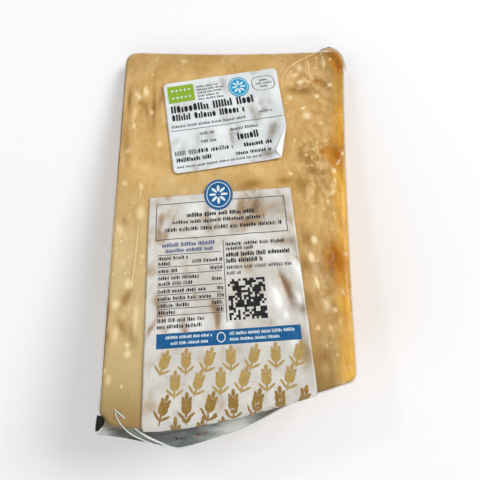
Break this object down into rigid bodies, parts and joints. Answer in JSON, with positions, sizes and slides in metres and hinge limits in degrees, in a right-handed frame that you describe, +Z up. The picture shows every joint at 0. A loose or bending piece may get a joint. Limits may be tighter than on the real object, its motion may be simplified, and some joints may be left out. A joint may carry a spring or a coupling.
{
  "type": "parmesan chunk",
  "caption": "Wedge of hard aged cheese, vacuum-packed in clear film, with a short sticker, a long sticker folded over the heel, and a fin of spare film.",
  "frame": {"origin": "on the flat underside, below the middle of the wedge", "axes": "+Y from the thick heel to the thin tip, +X towards the flat rind, +Z up, away from the cut face it lies on"},
  "size_m": [0.1159, 0.1867, 0.0443],
  "materials": {
    "vacuum_pack": "golden tan cheese below tight clear film",
    "short_label": null,
    "long_label": null
  },
  "bodies": {
    "root": {"vacuum_pack": "vacuum_pack", "short_label": "short_label", "long_label": "long_label"}
  },
  "joints": []
}
